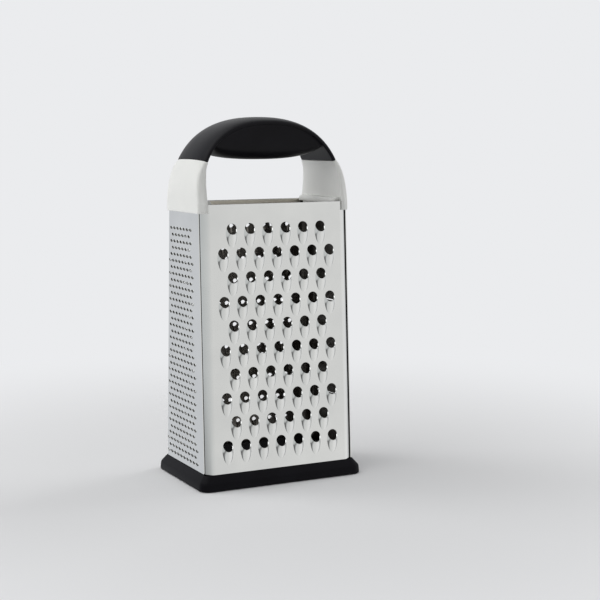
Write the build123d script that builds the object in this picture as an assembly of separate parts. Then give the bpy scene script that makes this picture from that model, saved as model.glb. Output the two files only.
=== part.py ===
"""Box grater: four punched steel sheets round an open box, an arched handle and a soft foot.

The front faces -Y and the floor is z = 0. All lengths are millimetres.
"""

import os
from math import atan2, cos, pi, sin

from build123d import *

# Overall sizes of the box, measured over the steel
body_width = 104.0
width_taper = 1.6  # how much narrower the top edge of the steel is
body_depth = 68.5
depth_taper = 12.5
panel_height = 168.0  # from the top of the foot ring to the top edge of the steel
ring_height = 9.6

# Sheet steel
sheet = 0.5
corner_radius = 3.0  # of the outline that the sheets fill together
bend_radius = 5.5  # of the front and back sheets' vertical corners
flange_width = 6.0
hem_height = 4.0  # how far the top edges are folded down on the inside
lap_gap = 0.1  # between a flange and the side sheet that covers it
side_setback = 2.6  # from the front plane to the edge of a side sheet
seat_depth = 5.4  # how far the sheets stand down inside the foot

# Handle
handle_rise = 53.8  # top of the grip above the steel's top edge
shoulder_drop = 5.6  # how far the shoulders lap down over the steel
skirt = 1.2
strap = 5.0
arch_spring = 2.4  # height above the steel at which the legs start to lean in
grip_start = 27.4  # height above the steel at which the grip begins
grip_half_depth = 20.5
arch_power = 2.35
round_power = 2.3
shoulder_power = 14.0
shoulder_slant = 3.3  # how far the outer face stands back from the shoulders' front edge
taper_power = 1.6
leg_level_shares = (0.35, 0.6, 0.8, 1.0)  # of the turn from the leg's foot to the grip

# Palm swelling under the grip
belly_half_length = 37.5
belly_half_depth = 19.3
belly_drop = 8.4
belly_tip = 35.3  # height of its pointed ends above the steel
belly_embed = 0.8
belly_power = 2.4
belly_round = 3.4
belly_end_share = 0.97  # how near its pointed ends the last sections lie

# Core of the arch inside the grip
core_inset = 1.3
core_thickness = 2.4
core_half_depth = 13.0
core_root = 4.0

# Foot ring and base frame
ring_flare = 4.6
ring_lip = 0.4
ring_slope = 4.4
ring_round = 1.0
ring_floor = 2.0
ring_corner = 6.5
ring_gap = 0.15
base_wall = 2.4
base_inset = 1.35
base_web = 2.0
base_rise = 2.5
opening_corner = 1.2

# Clamp bars, pegs and screws inside the top
ledge_reach = 4.0
ledge_height = 2.4
bar_height = 9.0
bar_end = 2.0  # how far a bar runs past the middle of its end pegs
bar_corner = 1.0
bar_gap = 0.1
peg_radius = 1.5
peg_drop = 2.9
screw_inset = 6.5  # from the end of a bar to the axis of its screw
screw_radius = 1.1
screw_length = 9.0
head_radius = 2.2
head_height = 1.6
head_sink = 0.4

# Punched patterns: pitch across, pitch up, plain margins and the size of one punch
coarse_pitch = 12.3
coarse_row = 15.04
coarse_side_margin = 5.5
coarse_top_margin = 15.2
coarse_foot_margin = 5.0
coarse_radius = 3.3
coarse_rise = 2.6
coarse_length = 11.3

medium_pitch = 5.9
medium_row = 7.25
medium_side_margin = 10.5
medium_top_margin = 15.0
medium_foot_margin = 23.0
medium_radius = 2.1

fine_pitch = 4.7
fine_row = 4.1
fine_side_margin = 11.0
fine_top_margin = 13.5
fine_foot_margin = 9.0
fine_reach = 1.2
fine_rise = 0.9

slicer_row = 21.0
slicer_top_margin = 22.0
slicer_foot_margin = 8.0
slicer_half_width = 15.0
slicer_rise = 2.6
slicer_slot = 3.2
slicer_length = 10.0

overrun = 1.0  # how far a cutter runs past a face

# How finely round shapes are cut into flats or sections
big_sides = 8
small_sides = 3
tooth_sides = 3
slicer_sides = 6
peg_sides = 6
band_sides = 8
crown_steps = 8
grip_steps = 8
belly_steps = 6

# Places that follow from the sizes above
body_top_width = body_width - width_taper
body_top_depth = body_depth - depth_taper
ring_top = ring_height
steel_top = ring_top + panel_height
steel_foot = ring_top - seat_depth
arch_half_width = body_top_width / 2 + skirt + lap_gap
spring_height = steel_top + arch_spring
arch_rise = steel_top + handle_rise - spring_height
shoulder_foot = steel_top - shoulder_drop
grip_height = steel_top + grip_start
leg_inner = arch_half_width - strap
flange_inner = body_top_width / 2 - sheet - lap_gap - sheet
base_corner = bend_radius + sheet + lap_gap - base_inset
peg_y = body_top_depth / 2 - bend_radius - flange_width / 2
bar_half_length = peg_y + bar_end


def widened(base_half, top_half, height):
    """Half size of the tapering box at a height above the floor."""
    return base_half + (top_half - base_half) * (height - ring_top) / panel_height


def prism(corners, plane, half_length):
    """Straight body with the given outline, running both ways from the plane."""
    return extrude(plane * make_face(Polyline(*corners, close=True)), half_length, both=True)


def tapered_box(inset, radius, width_trim=0.0, low=steel_foot, high=steel_top):
    """The body's outer form as planes, moved in by the inset, with rounded vertical corners."""

    def wedge(base_half, top_half, plane, reach):
        lower = widened(base_half, top_half, low)
        upper = widened(base_half, top_half, high)
        corners = [(-lower, low), (lower, low), (upper, high), (-upper, high)]
        return prism(corners, plane, reach)

    trim = inset + width_trim
    across = wedge(body_width / 2 - trim, body_top_width / 2 - trim, Plane.XZ, body_depth)
    along = wedge(body_depth / 2 - inset, body_top_depth / 2 - inset, Plane.YZ, body_width)
    box = across & along
    upright = [edge for edge in box.edges() if edge.bounding_box().size.Z > (high - low) / 2]
    return fillet(upright, radius - inset)


def face_plane(out_x, out_y, base_half, top_half):
    """Plane on the outside of a sheet, origin at the foot ring's top, Y running up the sheet."""
    lean = atan2(base_half - top_half, panel_height)
    return Plane(
        origin=(out_x * base_half, out_y * base_half, ring_top),
        x_dir=(-out_y, out_x, 0),
        z_dir=(out_x * cos(lean), out_y * cos(lean), sin(lean)),
    )


front_plane = face_plane(0, -1, body_depth / 2, body_top_depth / 2)
back_plane = face_plane(0, 1, body_depth / 2, body_top_depth / 2)
left_plane = face_plane(-1, 0, body_width / 2, body_top_width / 2)
right_plane = face_plane(1, 0, body_width / 2, body_top_width / 2)


def staggered(half_width, pitch, row, top_margin, foot_margin):
    """Places of a staggered pattern, widest row second, as (across, up) on a sheet."""
    rows = int((panel_height - top_margin - foot_margin) / row) + 1
    widest = int(2 * half_width / pitch) + 1
    places = []
    for level in range(rows):
        count = widest - 1 + level % 2
        up = panel_height - top_margin - level * row
        places += [((column - (count - 1) / 2) * pitch, up) for column in range(count)]
    return places


def ring_of(sides, radius, start=0.0):
    """Corners of a regular outline round the origin."""
    turns = [start + 2 * pi * step / sides for step in range(sides)]
    return [(radius * cos(turn), radius * sin(turn)) for turn in turns]


def hood(half_width, rise, length, sides):
    """Raised scoop on a sheet: half an ellipse at its mouth, ramping down to a rounded foot."""
    turns = [pi * step / sides for step in range(sides + 1)]
    bow = [(half_width * cos(turn), rise * sin(turn)) for turn in turns]
    mouth = Plane.XZ * make_face(Polyline(*bow, close=True))
    ramp = Vector(0, -length, -rise)
    sheet_side = Box(
        4 * half_width, 4 * length, rise + sheet / 2, align=(Align.CENTER, Align.CENTER, Align.MIN)
    )
    return extrude(mouth, ramp.length, dir=ramp) & Pos(0, 0, -sheet / 2) * sheet_side


def hollow(half_width, rise, length, sides):
    """Inside of a scoop, and the gap in the sheet behind it."""
    turns = [pi * step / sides for step in range(sides + 1)]
    foot = [(half_width * cos(turn), -length * sin(turn)) for turn in turns]
    gap = extrude(make_face(Polyline(*foot, close=True)), -sheet - overrun)
    above = hood(half_width, rise, length, sides)
    return above.fuse(gap)


def tetra(base, tip):
    """Three-sided tooth from its base outline and its tip."""
    pairs = zip(base, base[1:] + base[:1])
    sides = [make_face(Polyline(first, second, tip, close=True)) for first, second in pairs]
    return Solid(Shell([face.face() for face in [make_face(Polyline(*base, close=True)), *sides]]))


def bar_of(sides, radius, length):
    """Straight many-sided bar standing on z = 0."""
    return extrude(make_face(Polyline(*ring_of(sides, radius), close=True)), length)


def placed(plane, shape, places):
    """Copies of one shape at places on a sheet."""
    return [plane.location * Pos(across, up, 0) * shape for across, up in places]


def layer(side, low, high, start, end, half_width):
    """Slab parallel to the front (side = -1) or back sheet, between two depths behind its face."""
    outer = [widened(body_depth / 2, body_top_depth / 2, height) for height in (low, high)]
    corners = [
        (side * (outer[0] - start), low),
        (side * (outer[0] - end), low),
        (side * (outer[1] - end), high),
        (side * (outer[1] - start), high),
    ]
    return prism(corners, Plane.YZ, half_width)


def bent_sheet(side):
    """Front (side = -1) or back (side = 1) sheet: corners bent into flanges, top edge hemmed."""
    low, high = steel_foot - overrun, steel_top + overrun
    outer = tapered_box(0.0, bend_radius, sheet + lap_gap)
    inner = tapered_box(sheet, bend_radius, sheet + lap_gap, low, high)
    near = layer(side, low, high, -overrun, bend_radius + flange_width, body_width)
    flat_half = body_top_width / 2 - sheet - lap_gap - bend_radius
    hem = layer(side, steel_top - hem_height, steel_top, sheet / 2, 2 * sheet, flat_half)
    return ((outer - inner) & near).fuse(hem) - clamp_pegs(overrun)


def side_sheet(side):
    """Left (side = -1) or right (side = 1) flat sheet, covering the flanges."""
    low, high = steel_foot, steel_top
    foot = widened(body_depth / 2, body_top_depth / 2, low) - side_setback
    head = widened(body_depth / 2, body_top_depth / 2, high) - side_setback
    outline = prism([(-foot, low), (foot, low), (head, high), (-head, high)], Plane.YZ, body_width)
    outer = [side * widened(body_width / 2, body_top_width / 2, height) for height in (low, high)]
    skin = [
        (outer[0], low),
        (outer[1], high),
        (outer[1] - side * sheet, high),
        (outer[0] - side * sheet, low),
    ]
    return (outline & prism(skin, Plane.XZ, body_depth)) - clamp_pegs(overrun)


def coarse_panel():
    """Large staggered holes, each with a raised half-cone scoop whose lip is the cutting edge."""
    half_width = body_top_width / 2 - bend_radius - coarse_side_margin
    foot_margin = coarse_foot_margin + coarse_length
    places = staggered(half_width, coarse_pitch, coarse_row, coarse_top_margin, foot_margin)
    half_sides = big_sides // 2
    raised = hood(coarse_radius + sheet, coarse_rise + sheet, coarse_length + sheet, half_sides)
    inside = hollow(coarse_radius, coarse_rise, coarse_length, half_sides)
    opening = prism(ring_of(big_sides, coarse_radius), Plane.XY, coarse_rise + sheet + overrun)
    panel = bent_sheet(-1).fuse(*placed(front_plane, raised, places))
    return panel.cut(*placed(front_plane, inside.fuse(opening), places))


def medium_panel():
    """Close staggered holes for medium shreds."""
    half_width = body_top_width / 2 - bend_radius - medium_side_margin
    margins = medium_top_margin, medium_foot_margin
    places = staggered(half_width, medium_pitch, medium_row, *margins)
    punch = prism(ring_of(small_sides, medium_radius, -pi / 2), Plane.XY, sheet + overrun)
    return bent_sheet(1).cut(*placed(back_plane, punch, places))


def fine_panel():
    """Rows of small pointed teeth raised from the narrow left side; rows widen with the body."""
    rows = int((panel_height - fine_top_margin - fine_foot_margin) / fine_row) + 1
    corners = ring_of(tooth_sides, fine_reach, pi / 2)
    base = [Vector(across, up, -sheet / 2) for across, up in corners]
    tooth = tetra(base, Vector(0, fine_reach / 2, fine_rise))
    places = []
    for level in range(rows):
        up = panel_height - fine_top_margin - level * fine_row
        half_depth = widened(body_depth / 2, body_top_depth / 2, ring_top + up)
        room = 2 * (half_depth - side_setback - fine_side_margin)
        most = int(room / fine_pitch) + 1
        count = most - (most + level) % 2
        places += [((column - (count - 1) / 2) * fine_pitch, up) for column in range(count)]
    return side_sheet(-1).fuse(*placed(left_plane, tooth, places))


def slicer_panel():
    """Wide raised slots with a straight cutting edge, one above the other."""
    room = panel_height - slicer_top_margin - slicer_foot_margin - slicer_length
    count = int(room / slicer_row) + 1
    places = [(0, panel_height - slicer_top_margin - level * slicer_row) for level in range(count)]
    half_width, rise = slicer_half_width, slicer_rise
    raised = hood(half_width + sheet, rise + sheet, slicer_length + sheet, slicer_sides)
    inside = hollow(half_width, rise, slicer_length, slicer_sides)
    slot = Pos(0, slicer_slot / 2, 0) * Box(2 * half_width, slicer_slot, 2 * (sheet + overrun))
    panel = side_sheet(1).fuse(*placed(right_plane, raised, places))
    return panel.cut(*placed(right_plane, inside.fuse(slot), places))


def arch_point(turn, inset=0.0):
    """Point on the arch's outline at a turn from the right-hand spring, and its outward normal."""
    wide, tall = arch_half_width - inset, arch_rise - inset
    power = 2 / arch_power
    side = 1 if cos(turn) >= 0 else -1
    x = side * wide * abs(cos(turn)) ** power
    z = tall * abs(sin(turn)) ** power
    normal = Vector(
        side * abs(x / wide) ** (arch_power - 1) / wide, 0, abs(z / tall) ** (arch_power - 1) / tall
    )
    return Vector(x, 0, spring_height + z), normal.normalized()


def arch_turn(height):
    """Turn at which the arch's outline reaches a height."""
    share = ((height - spring_height) / arch_rise) ** (arch_power / 2)
    return atan2(share, (1 - share**2) ** 0.5)


def climb(height):
    """Share of the way from the steel's top edge to the top of the grip, held between 0 and 1."""
    return min(1.0, max(0.0, (height - steel_top) / handle_rise))


def strap_half_depth(height):
    """Half depth of the handle, from the shoulders' full depth to the slimmer grip."""
    shoulder_half_depth = body_top_depth / 2 + skirt + lap_gap
    if height < steel_top:
        return widened(body_depth / 2, body_top_depth / 2, height) + skirt + lap_gap
    spare = shoulder_half_depth - grip_half_depth
    return grip_half_depth + spare * (1 - climb(height)) ** taper_power


def half_moon(half_width, rise, power, steps, slant=0.0):
    """Face with one straight side on the X axis and a rounded side, slanting in as it rises."""
    curve = [(half_width, 0)]
    for step in range(1, steps):
        turn = pi * step / steps
        side = 1 if cos(turn) >= 0 else -1
        height = sin(turn) ** power
        width = half_width - slant * height
        curve.append((side * width * abs(cos(turn)) ** power, rise * height))
    curve.append((-half_width, 0))
    bow = Spline(*curve)
    return make_face([bow, Line(bow @ 1, bow @ 0)])


def strap_section(point, normal):
    """Section of the handle: flat inside, crowned outside, boxy at the shoulders."""
    half_depth = strap_half_depth(point.Z)
    blend = min(1.0, climb(point.Z) / climb(grip_height))
    power = 2 / (shoulder_power + (round_power - shoulder_power) * blend)
    plane = Plane(
        origin=point - normal * strap, x_dir=(0, 1, 0), z_dir=(normal.Z, 0, -normal.X)
    )
    return plane * half_moon(half_depth, strap, power, crown_steps, shoulder_slant * (1 - blend))


def leg(side):
    """One white leg with its shoulder, before the steel's pocket is cut."""
    levels = [shoulder_foot, steel_top, spring_height]
    sections = [
        strap_section(Vector(side * arch_half_width, 0, height), Vector(side, 0, 0))
        for height in levels
    ]
    last = arch_turn(grip_height)
    for share in leg_level_shares:
        turn = last * share
        point, normal = arch_point(turn if side > 0 else pi - turn)
        sections.append(strap_section(point, normal))
    return loft(sections)


def arch_band(inset, thickness, half_depth, low):
    """Plain band that follows the arch above a height, inset from its outline."""
    start = arch_turn(low)
    turns = [start + (pi - 2 * start) * step / band_sides for step in range(band_sides + 1)]
    outer = [arch_point(turn, inset)[0] for turn in turns]
    inner = [arch_point(turn, inset + thickness)[0] for turn in turns]
    face = make_face(Polyline(*outer, *inner[::-1], close=True))
    return extrude(face, half_depth, both=True, dir=(0, 1, 0))


def core():
    """Core of the arch under the grip, rooted in both legs."""
    return arch_band(core_inset, core_thickness, core_half_depth, grip_height - core_root)


def ledge(side):
    """Foot of the leg, inside the box, that takes the clamp screws."""
    block = Box(ledge_reach + strap / 2, 2 * bar_half_length, ledge_height)
    x = side * (leg_inner - ledge_reach + (ledge_reach + strap / 2) / 2)
    return Pos(x, 0, steel_top + ledge_height / 2) * chamfer(
        block.edges().filter_by(Axis.Y).group_by(Axis.Z)[-1], ledge_height / 2
    )


def screw_places():
    """Axes of the clamp screws as (x, y)."""
    x = leg_inner - ledge_reach / 2
    y = bar_half_length - screw_inset
    return [(side * x, end * y) for side in (-1, 1) for end in (-1, 1)]


def handle_frame():
    """White arch: legs, shoulders, ledges and core, with a pocket for the steel's top edges."""
    frame = leg(-1).fuse(leg(1), ledge(-1), ledge(1), core())
    pocket = tapered_box(-lap_gap, corner_radius, 0.0, shoulder_foot - overrun, steel_top)
    pilot = bar_of(peg_sides, screw_radius, screw_length)
    low = steel_top - bar_height + head_sink + head_height
    return frame.cut(pocket, *[Pos(x, y, low) * pilot for x, y in screw_places()])


def grip_cover():
    """Soft cover over the top of the arch, with the palm swelling under it."""
    start = arch_turn(grip_height)
    turns = [start + (pi - 2 * start) * step / grip_steps for step in range(grip_steps + 1)]
    cover = loft([strap_section(*arch_point(turn)) for turn in turns])
    return cover.fuse(belly()) - core()


def belly():
    """Palm swelling: sections across the grip, deepest in the middle, closing at both ends."""
    inner_wide, inner_tall = arch_half_width - strap, arch_rise - strap

    def section(x):
        share = abs(x / inner_wide) ** arch_power
        roof = spring_height + inner_tall * (1 - share) ** (1 / arch_power) + belly_embed
        bow = (1 - abs(x / belly_half_length) ** belly_power) ** (1 / belly_power)
        depth = roof - (steel_top + belly_tip - belly_drop * bow)
        plane = Plane(origin=(x, 0, roof), x_dir=(0, -1, 0), z_dir=(1, 0, 0))
        return plane * half_moon(belly_half_depth, depth, 2 / belly_round, belly_steps)

    end = belly_half_length * belly_end_share
    return loft([section(end * (2 * step / belly_steps - 1)) for step in range(belly_steps + 1)])


def rounded_frustum(levels):
    """Stack of rounded rectangles joined by straight walls; a level is (height, grow, radius)."""
    sections = []
    for height, grow, radius in levels:
        width, depth = body_width + 2 * grow, body_depth + 2 * grow
        sections.append(Pos(0, 0, height) * RectangleRounded(width, depth, radius))
    return loft(sections, ruled=True)


def foot_ring():
    """Soft ring: flares out from the steel, drops to the floor and turns in under the frame."""
    shell = rounded_frustum([
        (0, ring_flare - ring_round, ring_corner - ring_round),
        (ring_round, ring_flare, ring_corner),
        (ring_top - ring_slope, ring_flare - ring_lip, ring_corner - ring_lip),
        (ring_top, ring_lip, corner_radius + ring_lip),
    ])
    well_height = ring_top - ring_floor
    well_width = 2 * (widened(body_width / 2, body_top_width / 2, steel_foot) + ring_gap)
    well_depth = 2 * (widened(body_depth / 2, body_top_depth / 2, steel_foot) + ring_gap)
    well = extrude(
        Pos(0, 0, ring_floor) * RectangleRounded(well_width, well_depth, corner_radius),
        well_height + overrun,
    )
    inside = base_inset + base_wall
    window = extrude(
        Pos(0, 0, -overrun)
        * RectangleRounded(body_width - 2 * inside, body_depth - 2 * inside, opening_corner),
        ring_height + 2 * overrun,
    )
    return shell - well - window


def base_frame():
    """Stiff frame inside the foot: a web that the sheets stand on and a wall behind them."""
    seat = extrude(
        Pos(0, 0, ring_floor)
        * RectangleRounded(body_width, body_depth, corner_radius),
        steel_foot - ring_floor,
    )
    wall = extrude(
        Pos(0, 0, ring_floor)
        * RectangleRounded(body_width - 2 * base_inset, body_depth - 2 * base_inset, base_corner),
        ring_top + base_rise - ring_floor,
    )
    inside = base_inset + base_wall
    window = extrude(
        Pos(0, 0, ring_floor - overrun)
        * RectangleRounded(body_width - 2 * inside, body_depth - 2 * inside, opening_corner),
        ring_height + base_rise + 2 * overrun,
    )
    return seat.fuse(wall) - window


def clamp_pegs(extra=0.0):
    """Pegs that pass through the flange and the side sheet under each shoulder."""
    reach = sheet + lap_gap + sheet + extra
    start = flange_inner - bar_gap - extra
    peg = bar_of(peg_sides, peg_radius, reach + bar_gap + extra)
    pegs = []
    for side in (-1, 1):
        for end in (-1, 1):
            plane = Plane(
                origin=(side * start, end * peg_y, steel_top - peg_drop), z_dir=(side, 0, 0)
            )
            pegs.append(plane * peg)
    return pegs


def clamp_bar(side):
    """Bar inside the top that clamps the sheets out against the shoulder."""
    outer = flange_inner - bar_gap
    inner = leg_inner - ledge_reach
    block = Pos(side * (outer + inner) / 2, 0, steel_top - bar_height / 2) * Box(
        outer - inner, 2 * bar_half_length, bar_height
    )
    bar = chamfer(block.edges().filter_by(Axis.Z), bar_corner)
    near_pegs = [peg for peg in clamp_pegs() if peg.center().X * side > 0]
    bore = bar_of(peg_sides, screw_radius, bar_height + overrun)
    sink = bar_of(peg_sides, head_radius + lap_gap, head_sink + head_height)
    cuts = [
        Pos(x, y, steel_top - bar_height) * bore.fuse(sink)
        for x, y in screw_places()
        if x * side > 0
    ]
    return bar.fuse(*near_pegs).cut(*cuts)


def clamp_screws():
    """Four hexagon-headed screws driven up through the clamp bars into the legs."""
    head = bar_of(peg_sides, head_radius, head_height)
    screw = head.fuse(Pos(0, 0, head_height) * bar_of(peg_sides, screw_radius, screw_length))
    low = steel_top - bar_height + head_sink
    return [Pos(x, y, low) * screw for x, y in screw_places()]


def save(name, shape):
    """Writes one piece, or one group of alike pieces, as its own file."""
    group = shape if isinstance(shape, list) else [shape]
    solids = [solid for item in group for solid in item.solids()]
    piece = solids[0] if len(solids) == 1 else Compound(children=solids)
    export_step(piece, f"parts/{name}.step")


os.makedirs("parts", exist_ok=True)
save("coarse_panel", coarse_panel())
save("medium_panel", medium_panel())
save("fine_panel", fine_panel())
save("slicer_panel", slicer_panel())
save("handle_frame", handle_frame())
save("grip_cover", grip_cover())
save("foot_ring", foot_ring())
save("base_frame", base_frame())
save("left_clamp_bar", clamp_bar(-1))
save("right_clamp_bar", clamp_bar(1))
save("clamp_screws", clamp_screws())
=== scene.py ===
from math import atan2, cos, pi, radians, sin, sqrt

import bmesh
import bpy
import numpy as np
from mathutils import Matrix, Vector
from mathutils.geometry import delaunay_2d_cdt


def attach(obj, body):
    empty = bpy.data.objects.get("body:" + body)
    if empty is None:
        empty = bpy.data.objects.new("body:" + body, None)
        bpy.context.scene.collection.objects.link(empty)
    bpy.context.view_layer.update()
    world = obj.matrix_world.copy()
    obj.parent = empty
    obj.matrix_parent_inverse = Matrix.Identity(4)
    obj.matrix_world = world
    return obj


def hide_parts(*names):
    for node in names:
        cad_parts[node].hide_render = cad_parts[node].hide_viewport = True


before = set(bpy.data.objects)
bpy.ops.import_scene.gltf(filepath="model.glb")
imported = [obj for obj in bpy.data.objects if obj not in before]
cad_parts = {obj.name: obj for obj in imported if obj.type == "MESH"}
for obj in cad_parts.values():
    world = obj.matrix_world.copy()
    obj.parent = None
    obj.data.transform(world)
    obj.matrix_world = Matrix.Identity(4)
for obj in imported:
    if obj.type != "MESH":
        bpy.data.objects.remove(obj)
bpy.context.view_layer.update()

mm = 0.001  # every size below is in millimetres until a mesh is made
edgeAngle = 32  # degrees; faces that meet more sharply show an edge
weldReach = 0.002
cutReach = 0.00001  # points of a flat sheet that lie nearer than this become one
notZero = 1e-12  # added to a difference that is divided by
sheetSlots = ("outside", "inside", "hem")

# the sheet box that all pieces are fitted round
box = {
    "width": 104.0,
    "topWidth": 102.4,
    "depth": 68.5,
    "topDepth": 56.0,
    "ringTop": 9.6,
    "panelHeight": 168.0,
    "seatDepth": 5.4,
    "sheet": 0.5,
    "lapGap": 0.1,
    "corner": 3.0,  # of the outline that the sheets fill together
    "bend": 5.5,  # of the front and back sheets
    "flange": 6.0,
    "hem": 0.55,  # radius of the roll at the top edge
    "hemLeg": 4.0,
    "hemSteps": 8,
    "bendSteps": 14,
    "guard": 0.3,  # narrow flat border that keeps shading flat beside a curve
    "flatWithin": 0.05,  # what stands further out than this has been drawn out of the sheet
}
box["steelTop"] = box["ringTop"] + box["panelHeight"]
box["steelFoot"] = box["ringTop"] - box["seatDepth"]


def between(base, top, height):
    return base + (top - base) * (height - box["ringTop"]) / box["panelHeight"]


def halfWidth(height):
    return between(box["width"], box["topWidth"], height) / 2


def halfDepth(height):
    return between(box["depth"], box["topDepth"], height) / 2


# mesh helpers


def makeObject(name, verts, faces, sharpAngle=edgeAngle, weld=weldReach):
    mesh = bpy.data.meshes.new(name)
    mesh.from_pydata([tuple(v) for v in verts], [], faces)
    work = bmesh.new()
    work.from_mesh(mesh)
    bmesh.ops.remove_doubles(work, verts=work.verts, dist=weld)
    bmesh.ops.recalc_face_normals(work, faces=work.faces)
    bmesh.ops.scale(work, vec=(mm, mm, mm), verts=work.verts)
    work.to_mesh(mesh)
    work.free()
    made = bpy.data.objects.new(name, mesh)
    bpy.context.scene.collection.objects.link(made)
    return smoothed(made, sharpAngle)


def smoothed(made, sharpAngle):
    made.data.polygons.foreach_set("use_smooth", [True] * len(made.data.polygons))
    made.data.set_sharp_from_angle(angle=radians(sharpAngle))
    return made


def applied(made, sharpAngle):
    bpy.context.view_layer.update()
    graph = bpy.context.evaluated_depsgraph_get()
    made.data = bpy.data.meshes.new_from_object(made.evaluated_get(graph))
    made.modifiers.clear()
    return smoothed(made, sharpAngle)


def thickened(made, place, outward, thin):
    # gives a skin its thickness inwards, thinner where it has been drawn out of the sheet
    mesh = made.data
    lean = sum((p.normal.dot(outward) * p.area for p in mesh.polygons), 0.0)
    if lean < 0:
        mesh.flip_normals()
    drawn = made.vertex_groups.new(name="sheet")
    origin = place(0, 0)
    for vert in mesh.vertices:
        proud = (vert.co / mm - origin).dot(outward) > box["flatWithin"]
        drawn.add([vert.index], thin if proud else 1.0, "REPLACE")
    shell = made.modifiers.new("thickness", "SOLIDIFY")
    shell.thickness = box["sheet"] * mm
    shell.offset = -1
    shell.use_even_offset = True
    shell.use_quality_normals = True
    shell.vertex_group = "sheet"
    # the inside faces take the inside slot, which dress fills with steel painted dark as painted
    # shade
    shell.material_offset = sheetSlots.index("inside")
    for _ in sheetSlots:
        mesh.materials.append(None)
    return applied(made, edgeAngle)


def bridge(faces, first, second, count, closed=True):
    for i in range(count if closed else count - 1):
        j = (i + 1) % count
        faces.append((first + i, first + j, second + j, second + i))


def loft(rings, closed=True, caps=True):
    verts, faces = [], []
    count = len(rings[0])
    for ring in rings:
        verts += list(ring)
    for level in range(len(rings) - 1):
        bridge(faces, level * count, (level + 1) * count, count, closed)
    if caps:
        faces.append(tuple(range(count))[::-1])
        faces.append(tuple(range((len(rings) - 1) * count, len(rings) * count)))
    return verts, faces


def joined(parts):
    verts, faces = [], []
    for moreVerts, moreFaces in parts:
        start = len(verts)
        verts += list(moreVerts)
        faces += [tuple(start + i for i in face) for face in moreFaces]
    return verts, faces


def signedPower(value, power):
    return (1 if value >= 0 else -1) * abs(value) ** power


# punched sheets


def sheetPlane(outX, outY):
    baseHalf = (box["width"] if outX else box["depth"]) / 2
    topHalf = (box["topWidth"] if outX else box["topDepth"]) / 2
    lean = atan2(baseHalf - topHalf, box["panelHeight"])
    across = Vector((-outY, outX, 0))
    outward = Vector((outX * cos(lean), outY * cos(lean), sin(lean)))
    upward = outward.cross(across)
    origin = Vector((outX * baseHalf, outY * baseHalf, box["ringTop"]))

    def place(u, v, w=0.0):
        return origin + across * u + upward * v + outward * w

    def level(height):
        return (height - box["ringTop"]) / upward.z

    return place, level, outward


def flatRound(outline, loops):
    # triangles of a flat sheet between its outline and the punched places
    points, edges = [], []
    for loop in [outline] + loops:
        start = len(points)
        points += [Vector(p) for p in loop]
        edges += [(start + i, start + (i + 1) % len(loop)) for i in range(len(loop))]
    verts, _, tris, *_ = delaunay_2d_cdt(points, edges, [], 0, cutReach)
    flat = np.array([tuple(v) for v in verts])
    tris = np.array(tris)
    middle = flat[tris].mean(axis=1)
    keep = np.ones(len(tris), bool)
    for loop in loops:
        start = np.array(loop)
        end = np.roll(start, -1, axis=0)
        low, high = start.min(axis=0), start.max(axis=0)
        near = np.where(keep & (middle > low).all(axis=1) & (middle < high).all(axis=1))[0]
        spot = middle[near][:, None, :]
        spans = (start[None, :, 1] > spot[:, :, 1]) != (end[None, :, 1] > spot[:, :, 1])
        share = (spot[:, :, 1] - start[:, 1]) / (end[:, 1] - start[:, 1] + notZero)
        crossing = start[:, 0] + share * (end[:, 0] - start[:, 0]) > spot[:, :, 0]
        keep[near[(spans & crossing).sum(axis=1) % 2 == 1]] = False
    return [(x, y, 0.0) for x, y in flat], [tuple(t) for t in tris[keep]]


punch = {
    "footShares": ((1.0, 0.0), (0.45, 0.05), (0.1, 0.16)),  # of the fillet out, of the rise up
    "footTopShare": 0.2,  # of the rise, that the points above reach up to
    "widening": 3,  # how soon a hood is as wide as it gets
    "rim": 0.08,  # round the hole, between its rolled edge and the flat border
}


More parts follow.
